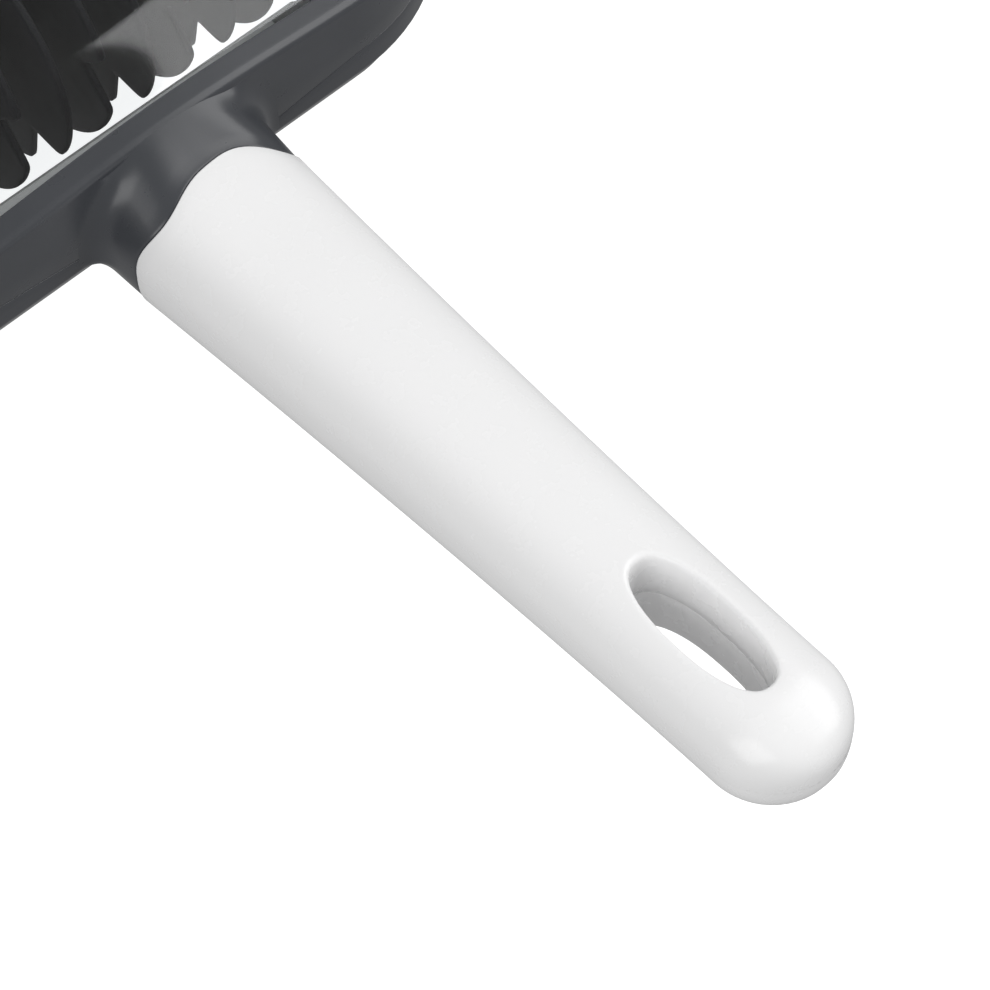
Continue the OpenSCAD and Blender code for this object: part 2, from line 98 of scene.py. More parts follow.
def makePiece(name, parts, material, body, stands, sharp=35):
    # one object from (points, faces) parts, shaded smooth except at edges over sharp degrees
    verts, faces = joinParts(parts)
    mesh = bpy.data.meshes.new(name)
    mesh.from_pydata((verts * mm).tolist(), [], faces)
    cleanMesh(mesh, 0.002)
    mesh.polygons.foreach_set("use_smooth", np.ones(len(mesh.polygons), dtype=bool))
    mesh.set_sharp_from_angle(angle=math.radians(sharp))
    obj = bpy.data.objects.new(name, mesh)
    bpy.context.scene.collection.objects.link(obj)
    mesh.materials.append(material)
    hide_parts(*stands)
    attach(obj, body)
    return obj


def carveMesh(obj, cutters):
    # takes each closed (points, faces) cutter out of the piece for good
    for part in cutters:
        verts, faces = joinParts([part])
        mesh = bpy.data.meshes.new("cutter")
        mesh.from_pydata((verts * mm).tolist(), [], faces)
        cleanMesh(mesh, 0.001)
        cutter = bpy.data.objects.new("cutter", mesh)
        bpy.context.scene.collection.objects.link(cutter)
        mod = obj.modifiers.new("carve", "BOOLEAN")
        mod.operation = "DIFFERENCE"
        mod.solver = "EXACT"
        mod.object = cutter
        bpy.context.view_layer.update()
        graph = bpy.context.evaluated_depsgraph_get()
        new = bpy.data.meshes.new_from_object(obj.evaluated_get(graph))
        obj.modifiers.clear()
        old = obj.data
        obj.data = new
        bpy.data.meshes.remove(old)
        bpy.data.objects.remove(cutter)
        bpy.data.meshes.remove(mesh)
    obj.data.polygons.foreach_set("use_smooth", np.ones(len(obj.data.polygons), dtype=bool))
    obj.data.set_sharp_from_angle(angle=math.radians(32))


def lathe(profile, x0, y, z, steps=64, side=1):
    # the profile's (along, radius) points turned about X: (x0 + side*along, y + r cos a, z + r sin a)
    p = np.asarray(profile, float)
    a = np.linspace(0, 2 * np.pi, steps, endpoint=False)
    x = np.repeat(x0 + side * p[:, :1], steps, 1)
    pts = np.stack([x, y + p[:, 1:] * np.cos(a), z + p[:, 1:] * np.sin(a)], -1)
    return pts, gridFaces(len(p), steps, loopCols=True)


def latheUp(profile, x, y, steps=48):
    # the profile's (height, radius) points turned round an upright axis
    p = np.asarray(profile, float)
    a = np.linspace(0, 2 * np.pi, steps, endpoint=False)
    z = np.repeat(p[:, :1], steps, 1)
    pts = np.stack([x + p[:, 1:] * np.cos(a), y + p[:, 1:] * np.sin(a), z], -1)
    return pts, gridFaces(len(p), steps, loopCols=True)


def boxShape(low, high):
    # the eight corners of a box and its six faces
    (a, b, c), (d, e, f) = low, high
    v = np.array([(x, y, z) for z in (c, f) for x, y in ((a, b), (d, b), (d, e), (a, e))], float)
    return v, [(0, 3, 2, 1), (4, 5, 6, 7), (0, 1, 5, 4), (1, 2, 6, 5), (2, 3, 7, 6), (3, 0, 4, 7)]


def smoothStep(s):
    # 3 s^2 - 2 s^3 between 0 and 1
    s = np.clip(s, 0, 1)
    return s * s * (3 - 2 * s)


def newMaterial(name):
    mat = bpy.data.materials.new(name)
    mat.use_nodes = True
    nodes, links = mat.node_tree.nodes, mat.node_tree.links
    coord = nodes.new("ShaderNodeTexCoord")
    return mat, nodes, links, nodes["Principled BSDF"], coord.outputs["Object"]


def noiseNode(nodes, links, coord, scale, detail=3, rough=0.55):
    tex = nodes.new("ShaderNodeTexNoise")
    tex.inputs["Scale"].default_value = scale
    tex.inputs["Detail"].default_value = detail
    tex.inputs["Roughness"].default_value = rough
    links.new(coord, tex.inputs["Vector"])
    return tex.outputs["Fac"]


def rampNode(nodes, links, source, stops):
    ramp = nodes.new("ShaderNodeValToRGB")
    el = ramp.color_ramp.elements
    while len(el) < len(stops):
        el.new(0.5)
    for e, (at, colour) in zip(el, stops):
        e.position = at
        e.color = (*colour, 1) if len(colour) == 3 else colour
    links.new(source, ramp.inputs["Fac"])
    return ramp.outputs["Color"]


def rangeNode(nodes, links, source, low, high):
    node = nodes.new("ShaderNodeMapRange")
    node.inputs["To Min"].default_value = low
    node.inputs["To Max"].default_value = high
    links.new(source, node.inputs["Value"])
    return node.outputs["Result"]


def bumpNode(nodes, links, sources, distance):
    # each source is (height, strength); the bumps are stacked
    last = None
    for height, strength in sources:
        bump = nodes.new("ShaderNodeBump")
        bump.inputs["Strength"].default_value = strength
        bump.inputs["Distance"].default_value = distance
        links.new(height, bump.inputs["Height"])
        if last is not None:
            links.new(last, bump.inputs["Normal"])
        last = bump.outputs["Normal"]
    return last


def mouldedPlastic(name, dark, light, roughness, grain, grainSize, specular):
    # colour drifts between dark and light over a few mm, gloss varies, and a fine grain breaks the surface
    mat, nodes, links, shader, coord = newMaterial(name)
    cloud = noiseNode(nodes, links, coord, 55, 4)
    links.new(rampNode(nodes, links, cloud, [(0.3, dark), (0.7, light)]), shader.inputs["Base Color"])
    gloss = noiseNode(nodes, links, coord, 240, 3)
    links.new(rangeNode(nodes, links, gloss, roughness[0], roughness[1]), shader.inputs["Roughness"])
    fine = noiseNode(nodes, links, coord, 1000 / grainSize, 2)
    wave = noiseNode(nodes, links, coord, 60, 1)
    links.new(bumpNode(nodes, links, [(fine, grain), (wave, grain)], 0.0002), shader.inputs["Normal"])
    shader.inputs["Specular IOR Level"].default_value = specular
    return mat


def steelFinish(name):
    mat, nodes, links, shader, coord = newMaterial(name)
    stretch = nodes.new("ShaderNodeMapping")
    stretch.inputs["Scale"].default_value = (1, 9, 9)
    links.new(coord, stretch.inputs["Vector"])
    lines = noiseNode(nodes, links, stretch.outputs["Vector"], 300, 3)
    tone = noiseNode(nodes, links, coord, 90, 3)
    links.new(rampNode(nodes, links, tone, [(0.3, (0.5, 0.5, 0.52)), (0.7, (0.68, 0.68, 0.69))]),
        shader.inputs["Base Color"])
    links.new(rangeNode(nodes, links, lines, 0.18, 0.36), shader.inputs["Roughness"])
    links.new(bumpNode(nodes, links, [(lines, 0.12)], 0.0001), shader.inputs["Normal"])
    shader.inputs["Metallic"].default_value = 1
    return mat


def clearFinish(name):
    # light goes straight through, and the two faces mirror the room by Schlick's share
    mat, nodes, links, shader, coord = newMaterial(name)
    nodes.remove(shader)
    out = [n for n in nodes if n.type == "OUTPUT_MATERIAL"][0]
    through = nodes.new("ShaderNodeBsdfTransparent")
    smear = noiseNode(nodes, links, coord, 38, 4)
    links.new(rampNode(nodes, links, smear, [(0.25, (0.95, 0.965, 0.97)), (0.75, (0.985, 0.99, 0.992))]),
        through.inputs["Color"])
    mirror = nodes.new("ShaderNodeBsdfGlossy")
    links.new(rangeNode(nodes, links, smear, 0.03, 0.09), mirror.inputs["Roughness"])
    # the share: 0.034 + (0.9 - 0.034) (1 - |cos|)^5
    face = nodes.new("ShaderNodeLayerWeight")
    face.inputs["Blend"].default_value = 0.5
    power = nodes.new("ShaderNodeMath")
    power.operation = "POWER"
    power.inputs[1].default_value = 5
    links.new(face.outputs["Facing"], power.inputs[0])
    share = rangeNode(nodes, links, power.outputs["Value"], 0.034, 0.9)
    ripple = noiseNode(nodes, links, coord, 30, 1)
    links.new(bumpNode(nodes, links, [(ripple, 0.02)], 0.0004), mirror.inputs["Normal"])
    mix = nodes.new("ShaderNodeMixShader")
    links.new(share, mix.inputs["Fac"])
    links.new(through.outputs["BSDF"], mix.inputs[1])
    links.new(mirror.outputs["BSDF"], mix.inputs[2])
    links.new(mix.outputs["Shader"], out.inputs["Surface"])
    return mat


def rubberFinish(name, dark, light):
    mat, nodes, links, shader, coord = newMaterial(name)
    cloud = noiseNode(nodes, links, coord, 130, 4)
    links.new(rampNode(nodes, links, cloud, [(0.3, dark), (0.7, light)]), shader.inputs["Base Color"])
    links.new(rangeNode(nodes, links, cloud, 0.6, 0.85), shader.inputs["Roughness"])
    fine = noiseNode(nodes, links, coord, 2600, 3)
    links.new(bumpNode(nodes, links, [(fine, 0.35)], 0.0001), shader.inputs["Normal"])
    return mat


finish = {
    "frameGrey": mouldedPlastic("frameGrey", (0.042, 0.045, 0.051), (0.050, 0.053, 0.060),
        (0.24, 0.34), 0.02, 0.45, 0.5),
    "handleWhite": mouldedPlastic("handleWhite", (0.862, 0.862, 0.864), (0.868, 0.868, 0.870),
        (0.24, 0.30), 0.006, 0.5, 0.45),
    "panWhite": mouldedPlastic("panWhite", (0.66, 0.66, 0.655), (0.72, 0.72, 0.715),
        (0.2, 0.34), 0.02, 0.6, 0.5),
    "rotorBlack": mouldedPlastic("rotorBlack", (0.005, 0.005, 0.006), (0.009, 0.009, 0.011),
        (0.45, 0.6), 0.015, 0.5, 0.12),
    "hubGrey": mouldedPlastic("hubGrey", (0.3, 0.3, 0.3), (0.38, 0.38, 0.38),
        (0.35, 0.5), 0.08, 0.5, 0.4),
    "bushWhite": mouldedPlastic("bushWhite", (0.62, 0.62, 0.6), (0.7, 0.7, 0.67),
        (0.4, 0.5), 0.06, 0.5, 0.4),
    "drumRubber": rubberFinish("drumRubber", (0.02, 0.02, 0.02), (0.035, 0.035, 0.035)),
    "tyreRubber": rubberFinish("tyreRubber", (0.024, 0.024, 0.026), (0.042, 0.042, 0.044)),
    "steel": steelFinish("steel"),
    "clearWindow": clearFinish("clearWindow"),
}
print("finishes made")

studio = {
    "world": 0.36,
    "floor": 0.97,
    "floorHalf": 3.0,
    "floorHeight": -0.0005,
    "key": {"way": (0.64, -0.42, 0.65), "distance": 1.0, "size": (0.6, 1.2), "power": 6.9},
    "fill": {"way": (-0.80, -0.35, 0.48), "distance": 1.0, "size": (0.8, 0.8), "power": 5.5},
    "top": {"way": (0.37, 0.72, 0.58), "distance": 1.0, "size": (0.4, 0.3), "power": 1.3},
}


def makeStudio(c):
    world = bpy.data.worlds.new("studio")
    world.use_nodes = True
    back = world.node_tree.nodes["Background"]
    back.inputs["Color"].default_value = (1, 1, 1, 1)
    back.inputs["Strength"].default_value = c["world"]
    bpy.context.scene.world = world
    # a floor with an even light of its own, which sheds none of it on the pieces
    mat, nodes, links, shader, coord = newMaterial("floorPale")
    cloud = noiseNode(nodes, links, coord, 3, 2)
    links.new(rampNode(nodes, links, cloud, [(0.3, (0.3, 0.3, 0.3)), (0.7, (0.34, 0.34, 0.34))]),
        shader.inputs["Base Color"])
    shader.inputs["Roughness"].default_value = 0.9
    shader.inputs["Specular IOR Level"].default_value = 0.0
    shader.inputs["Emission Color"].default_value = (1, 1, 1, 1)
    shader.inputs["Emission Strength"].default_value = c["floor"]
    mesh = bpy.data.meshes.new("floor")
    h, low = c["floorHalf"], c["floorHeight"]
    mesh.from_pydata([(-h, -h, low), (h, -h, low), (h, h, low), (-h, h, low)], [], [(0, 1, 2, 3)])
    mesh.materials.append(mat)
    floor = bpy.data.objects.new("floor", mesh)
    bpy.context.scene.collection.objects.link(floor)
    floor.visible_diffuse = False
    floor.visible_glossy = False
    for name in ("key", "fill", "top"):
        # a soft box on a line w from the neck, square to the head: x' = X - (X.w) w, y' = w cross x'
        light = c[name]
        way = Vector(light["way"]).normalized()
        side = (Vector((1, 0, 0)) - way * way.x).normalized()
        data = bpy.data.lights.new(name, "AREA")
        data.shape = "RECTANGLE"
        data.size, data.size_y = light["size"]
        data.energy = light["power"]
        obj = bpy.data.objects.new(name, data)
        turn = Matrix((side, way.cross(side), way)).transposed().to_4x4()
        obj.matrix_world = Matrix.Translation(Vector((0, -0.06, 0.03)) + way * light["distance"]) @ turn
        bpy.context.scene.collection.objects.link(obj)
    bpy.context.scene.view_settings.view_transform = "Standard"


makeStudio(studio)
print("studio set")

handle = {
    "parting": 27.0,
    "sleeve": 56.0,
    "end": 174.4,
    "rootWidth": 31.1,
    "endWidth": 22.86,
    "rootHeight": 26.0,
    "endHeight": 18.4,
    "power": 2.6,
    "holeLength": 26.2,
    "holeWidth": 9.7,
    "holeCentre": 160.3,
    "holeRound": 0.95,
    "holePower": 2.35,
    # cosine terms of the sleeve's front edge
    "edgeWave": (57.856, 0.946, 0.9, 0.493, -1.267, -0.48, 0.007),
    "dishDepth": 0.45,
    "screwPlaces": (72.0, 118.15),
}


def gripWidth(d):
    # end + (root - end) * s^1.6, s from 0 at the round end to 1 at the sleeve
    s = np.clip((handle["end"] - d) / (handle["end"] - handle["sleeve"]), 0, 1.1)
    return handle["endWidth"] + (handle["rootWidth"] - handle["endWidth"]) * s ** 1.6


def gripHeight(d):
    # end + (root - end) * s^1.2
    s = np.clip((handle["end"] - d) / (handle["end"] - handle["sleeve"]), 0, 1.1)
    return handle["endHeight"] + (handle["rootHeight"] - handle["endHeight"]) * s ** 1.2


def gripSurface(turn, v, inset=0.0):
    # a superellipse of power 2.6 at each distance: x = a sgn(cos) |cos|^(2/2.6), h = b |sin|^(2/2.6);
    # past the end, v goes on as arc length t*r with a = r cos t, b = r' cos^0.7 t, distance + r sin t
    r = handle["endWidth"] / 2
    t = np.clip((v - handle["end"]) / r, 0, np.pi / 2)
    d = np.minimum(v, handle["end"])
    a = (gripWidth(d) / 2 - inset) * np.cos(t)
    b = (gripHeight(d) / 2 - inset) * np.maximum(np.cos(t), 0) ** 0.7
    e = 2 / handle["power"]
    c, s = np.cos(turn), np.abs(np.sin(turn))
    c = np.where(np.abs(c) < 1e-9, 0, c)
    s = np.where(s < 1e-9, 0, s)
    x = a * np.sign(c) * np.abs(c) ** e
    y = -(d + (r - inset) * np.sin(t))
    return np.stack([x, y, b * s ** e], -1)


def sleeveEdge(turn, top):
    # distance of the front edge: the sum of w_k cos(k turn) on top; underneath, its even and odd
    # parts at the sides go on as even + odd cos(turn)
    w = handle["edgeWave"]
    if top:
        return sum(k * np.cos(n * turn) for n, k in enumerate(w))
    return sum(w[::2]) + sum(w[1::2]) * np.cos(turn)


def thumbDish(p):
    # lowers the top by depth * exp(-(x/8)^2 - ((y+71)/11)^2)
    q = p.copy()
    q[..., 2] -= handle["dishDepth"] * np.exp(-(p[..., 0] / 8) ** 2 - ((p[..., 1] + 71) / 11) ** 2)
    return q


def handleHalf(top):
    # one shell on the parting plane; the upper one has z = parting + height, the lower z = parting - height
    cols, joint = 65, 140.0
    turn = np.linspace(0, np.pi, cols)
    edge = sleeveEdge(turn, top)
    # the sleeve: a rounded front edge, then rows back to the joint
    parts = []
    rows = [gripSurface(turn, edge + 0.05, 2.0)]
    for t in np.linspace(0, np.pi / 2, 5):
        rows.append(gripSurface(turn, edge + 0.35 * (1 - np.sin(t)), 0.35 * (1 - np.cos(t))))
    rows = [rows[0]] + rows[:0:-1]
    for s in np.linspace(0, 1, 43)[1:]:
        rows.append(gripSurface(turn, edge + 0.35 + (joint - edge - 0.35) * s))
    sleeve = np.stack(rows)
    parts.append((thumbDish(sleeve) if top else sleeve, gridFaces(len(rows), cols)))
    # the end: lines from the hanging hole's edge out to a frame in (turn, v) space
    last = handle["end"] + handle["endWidth"] / 2 * np.pi / 2
    n = 40
    vs = joint + (last - joint) * np.linspace(0, 1, n + 1)
    frameLoop = np.concatenate([
        np.stack([turn, np.full(cols, joint)], 1),
        np.stack([np.full(n, np.pi), vs[1:]], 1),
        np.stack([turn[::-1][1:], np.full(cols - 1, last)], 1),
        np.stack([np.zeros(n - 1), vs[::-1][1:-1]], 1),
    ])
    centre = handle["holeCentre"]

    def holeLoop(angle, grow):
        # a superellipse of the hole's length and width: reach = (|cos/a|^p + |sin/b|^p)^(-1/p)
        a, b = handle["holeWidth"] / 2 + grow, handle["holeLength"] / 2 + grow
        c, s = np.cos(angle), np.sin(angle)
        q = handle["holePower"]
        reach = (np.abs(c / a) ** q + np.abs(s / b) ** q) ** (-1 / q)
        return np.stack([reach * c, centre + reach * s], 1)

    dirs = np.arctan2((frameLoop[:, 1] - centre) / 26, -(frameLoop[:, 0] - np.pi / 2) / 1.6)
    grown = holeLoop(dirs, handle["holeRound"])
    a = gripWidth(grown[:, 1]) / 2
    share = np.abs(grown[:, 0] / a) ** (handle["power"] / 2)
    around = np.arccos(np.clip(np.sign(grown[:, 0]) * share, -1, 1))
    inner = np.stack([around, grown[:, 1]], 1)
    s = np.linspace(0, 1, 26)[:, None, None]
    field = frameLoop[None] * (1 - s) + inner[None] * s
    deck = gripSurface(field[..., 0], field[..., 1])
    wall = holeLoop(dirs, 0.0)
    aw = gripWidth(wall[:, 1]) / 2
    inside = 1 - np.abs(wall[:, 0] / aw) ** handle["power"]
    height = gripHeight(wall[:, 1]) / 2 * inside ** (1 / handle["power"])
    corner = np.stack([wall[:, 0], -wall[:, 1], height], 1)
    start = deck[-1]
    low = corner - [0, 0, handle["holeRound"] * 1.25]
    lip = []
    for t in np.linspace(0, 1, 8)[1:]:
        # quadratic curve: (1-t)^2 start + 2 t (1-t) corner + t^2 low
        lip.append((1 - t) ** 2 * start + 2 * t * (1 - t) * corner + t * t * low)
    down = []
    for t in (0.25, 0.5, 0.75, 1.0):
        q = low.copy()
        q[:, 2] = low[:, 2] * (1 - t) + 0.16 * t
        down.append(q)
    foot = low.copy()
    foot[:, 2] = 0.03
    outward = np.stack([wall[:, 0], -(wall[:, 1] - centre)], 1)
    outward /= np.linalg.norm(outward, axis=1, keepdims=True)
    foot[:, :2] += outward * 0.12
    end = np.concatenate([deck, np.stack(lip + down + [foot])])
    parts.append((end, gridFaces(len(end), len(frameLoop), loopCols=True)))
    # the flat face on the parting plane, from the same points at height 0
    for grid, loop in ((sleeve, False), (np.concatenate([deck, foot[None]]), True)):
        flat = grid.copy()
        flat[..., 2] = 0.0
        if loop:
            flat[-1] = foot
        parts.append((flat, gridFaces(flat.shape[0], flat.shape[1], loopCols=loop)))
    # the front face, from the sleeve's inner row down to the plane
    front = np.stack([sleeve[0], sleeve[0] * [1, 1, 0]])
    parts.append((front, gridFaces(2, cols)))
    sign = 1 if top else -1
    return [(p * [1, 1, sign] + [0, 0, handle["parting"]], f) for p, f in parts]


white = finish["handleWhite"]
makePiece("handleUpper", handleHalf(True), white, "head", ["handle_upper"], sharp=50)
handleLower = makePiece("handleLower", handleHalf(False), white, "head", ["handle_lower"],
    sharp=50)
print("handle made")

head = {
    "width": 145.0,
    "depth": 97.0,
    "corner": 35.0,
    "rim": 42.4,
    "peak": 2.2,
    "peakReach": 40.0,
    "wall": 2.3,
    "lip": 4.2,
    "lipThick": 2.0,
    "lipRound": 1.6,
    "lipSlope": 14.0,
    "parting": 27.0,
    "partRise": 3.0,
    "partFrom": 16.0,
    "partOver": 24.0,
    "under": 4.0,
    "tuck": 10.0,
    "bandLow": 23.9,
    "bandIn": 1.2,
    "flatTuck": 13.0,
    "flange": 4.6,
    "flangeTop": 6.0,
    "chamber": 49.4,
    "panGap": 33.9,
    "screwX": 63.6,
    "screwY": 8.5,
    "screwSeat": 17.0,
}


def planPath():
    # the head's rounded rectangle, anticlockwise from the middle of the handle side:
    # straights, and quarter circles of the corner radius; returns points and inward directions
    hx, hy, r = head["width"] / 2, head["depth"] / 2, head["corner"]
    sx, sy = hx - r, hy - r
    a = np.radians(np.linspace(0, 90, 23))

    def corner(cx, cy, turn):
        t = a + math.radians(turn)
        return np.stack([cx + r * np.cos(t), cy + r * np.sin(t)], 1), -np.stack([np.cos(t), np.sin(t)], 1)

    def straight(p, q, n, way):
        t = np.linspace(0, 1, n + 1)[1:-1, None]
        pts = np.array(p) * (1 - t) + np.array(q) * t
        return pts, np.repeat([way], len(pts), 0)

    runs = [
        straight((-sx, -hy), (sx, -hy), 56, (0.0, 1.0)),
        corner(sx, -sy, -90),
        straight((hx, -sy), (hx, sy), 10, (-1.0, 0.0)),
        corner(sx, sy, 0),
        straight((sx, hy), (-sx, hy), 40, (0.0, -1.0)),
        corner(-sx, sy, 90),
        straight((-hx, sy), (-hx, -sy), 10, (1.0, 0.0)),
        corner(-sx, -sy, 180),
    ]
    return np.concatenate([r[0] for r in runs]), np.concatenate([r[1] for r in runs])


pathPoints, pathInward = planPath()


def rimRise(x, y):
    # peak * ((1 + cos(pi x / reach)) / 2)^0.75 on the handle side, nothing elsewhere
    c = (1 + np.cos(np.pi * np.clip(np.abs(x) / head["peakReach"], 0, 1))) / 2
    return head["peak"] * c ** 0.75 * (np.asarray(y) < -10)


def partLine(x):
    # parting height: 27 by the neck, then rise * s^0.8 with s from 16 to 40 mm off the middle
    s = np.clip((np.abs(x) - head["partFrom"]) / head["partOver"], 0, 1)
    return head["parting"] + head["partRise"] * s ** 0.8


def lipCurve():
    # outer side of the rim, (inward, height from the rim): the round r (1 - cos a), -2.2 + r sin a,
    # then a straight rise to the inner edge
    r, top = head["lipRound"], head["lip"] - 0.45
    a = np.radians(np.linspace(0, 90 - head["lipSlope"], 14))
    u, z = r - r * np.cos(a), -2.2 + r * np.sin(a)
    t = np.linspace(0, 1, 7)[1:]
    return np.concatenate([u, u[-1] + (top - u[-1]) * t]), np.concatenate([z, z[-1] + (-0.02 - z[-1]) * t])


def leanAt(z):
    # inward distance of the leaning side's inner face: band + wall + (bandLow - z) * lean
    lean = (head["tuck"] - head["bandIn"]) / (head["bandLow"] - head["under"])
    return head["bandIn"] + head["wall"] * math.sqrt(1 + lean * lean) + (head["bandLow"] - z) * lean


def tuckCurve():
    # outer side under the parting line: a cubic curve (1-t)^3 a + 3 t (1-t)^2 b + 3 t^2 (1-t) c + t^3 d
    # round the band's lower edge, a straight lean inwards, and a small round onto the underside
    t = np.linspace(0, 1, 13)[:, None]
    a, b, c, d = (np.array(q) for q in ((0, 25.4), (0, 24.2), (0.75, 24.15), (1.4, 23.45)))
    band = (1 - t) ** 3 * a + 3 * t * (1 - t) ** 2 * b + 3 * t * t * (1 - t) * c + t ** 3 * d
    low = np.array([head["tuck"], head["under"]])
    k = np.linspace(0, 1, 12)[1:, None]
    lean = d + (low + [-0.35, 0.8] - d) * k
    r = np.linspace(0, 1, 6)[1:, None]
    foot = (1 - r) ** 2 * (low + [-0.35, 0.8]) + 2 * r * (1 - r) * low + r * r * (low + [0.9, 0])
    out = np.concatenate([band, lean, foot])
    return out[:, 0], out[:, 1]


def flattened(grid, inner):
    # front and rear: |y| is held below a plane that leans in by (flatTuck - bandIn) over (bandLow -
    # under), and the inner face keeps the wall's thickness behind it; the crease is eased by the soft
    # minimum -log(exp(-k a) + exp(-k b)) / k
    lean = (head["flatTuck"] - head["bandIn"]) / (head["bandLow"] - head["under"])
    wall = head["wall"] * math.sqrt(1 + lean * lean)
    z, y = grid[..., 2], grid[..., 1]
    drop = head["bandLow"] - z
    plane = head["depth"] / 2 - head["bandIn"] - drop * lean - np.where(inner[:, None], wall, 0)
    k = 6.0
    gap = np.clip(plane - np.abs(y), -8, 8)
    held = np.abs(y) - np.logaddexp(0, -k * gap) / k
    share = smoothStep((drop + 0.3) / 1.0)
    out = grid.copy()
    out[..., 1] = np.sign(y) * (np.abs(y) * (1 - share) + held * share)
    return out


def sweepRows(rows):
    # each row is (inward, height) with one value or one for each path point: point + inward * direction
    out = []
    for u, z in rows:
        u = np.broadcast_to(u, len(pathPoints))
        xy = pathPoints + pathInward * u[:, None]
        out.append(np.concatenate([xy, np.broadcast_to(z, len(pathPoints))[:, None]], 1))
    return np.stack(out)


def upperSweep():
    # the upper frame's closed section carried round the path: outer side, lip, inner side
    x, y = pathPoints[:, 0], pathPoints[:, 1]
    rim = head["rim"] + rimRise(x, y)
    part = partLine(x)
    u, z = lipCurve()
    rows = [(0.6, part), (0.16, part + 0.02), (0.04, part + 0.09), (0.0, part + 0.25)]
    rows += [(0.0, part + 0.25 + (rim - 2.2 - part - 0.25) * t) for t in (0.33, 0.66)]
    rows += [(uu, rim + zz) for uu, zz in zip(u, z)]
    lip = head["lip"]
    rows += [(lip - 0.28, rim + 0.02), (lip - 0.12, rim - 0.04), (lip - 0.03, rim - 0.15),
        (lip, rim - 0.32), (lip, rim - head["lipThick"])]
    rows += [(head["wall"] + 0.3, rim - head["lipThick"]), (head["wall"], rim - head["lipThick"] - 0.3),
        (head["wall"], part)]
    grid = sweepRows(rows)
    return grid, gridFaces(len(grid), grid.shape[1], loopRows=True, loopCols=True)


def lowerSweep():
    # the lower frame's closed section: band, leaning side, the flange underneath, inner side
    x = pathPoints[:, 0]
    part = partLine(x)
    u, z = tuckCurve()
    rows = [(head["wall"], part - 0.02), (0.6, part - 0.02), (0.16, part - 0.04), (0.04, part - 0.11),
        (0.0, part - 0.27)]
    rows += [(0.0, part - 0.27 + (25.4 - part + 0.27) * 0.5)]
    rows += list(zip(u, z))
    outerRows = len(rows)
    brim = head["tuck"] + head["flange"]
    rows += [(brim - 0.5, head["under"]), (brim - 0.15, head["under"] + 0.12), (brim, head["under"] + 0.5),
        (brim, head["flangeTop"] - 0.4), (brim - 0.3, head["flangeTop"])]
    deck = head["flangeTop"]
    rows += [(leanAt(deck) + 0.5, deck), (leanAt(deck + 0.5), deck + 0.5)]
    innerFrom = len(rows) - 2
    rows += [(leanAt(q), q) for q in (10.0, 15.0, 20.0, 24.0)]
    rows += [(head["wall"] + 0.1, 26.9), (head["wall"], 27.4 + (part - 27.4) * 0.3)]
    grid = sweepRows(rows)
    k = np.arange(len(rows))
    shaped = flattened(grid, k >= innerFrom)
    move = (k < outerRows) | (k >= innerFrom)
    grid = np.where(move[:, None, None], shaped, grid)
    return grid, gridFaces(len(grid), grid.shape[1], loopRows=True, loopCols=True)


neck = {
    "rootHalf": 15.9,
    "rootPower": 2.25,
    "topReach": 17.2,  # from the parting plane up the wall and over the rim
    "bottomReach": 15.0,
    "fillet": 4.0,
    "topFillet": 2.6,
    "gap": 0.22,  # step from the white sleeve down to the neck
    "groove": 0.75,
}


def wallPoint(x, walk, top):
    # walks a length up (top) or down the outside of the handle side's wall from the parting plane
    if top:
        u, z = lipCurve()
        rim = head["rim"] + rimRise(x, -40.0)
        turnAt = rim - 2.2 - head["parting"]
    else:
        u, z = tuckCurve()
        turnAt = np.full(np.shape(x), head["parting"] - z[0])
    length = np.concatenate([[0], np.cumsum(np.hypot(np.diff(u), np.diff(z)))])
    past = np.maximum(walk - turnAt, 0)
    inward = np.interp(past, length, u)
    if top:
        height = np.where(walk < turnAt, head["parting"] + walk, rim + np.interp(past, length, z))
    else:
        height = np.where(walk < turnAt, head["parting"] - walk, np.interp(past, length, z))
    spot = np.stack([x, inward - head["depth"] / 2, height], -1)
    return spot if top else flattened(spot[None], np.array([False]))[0]


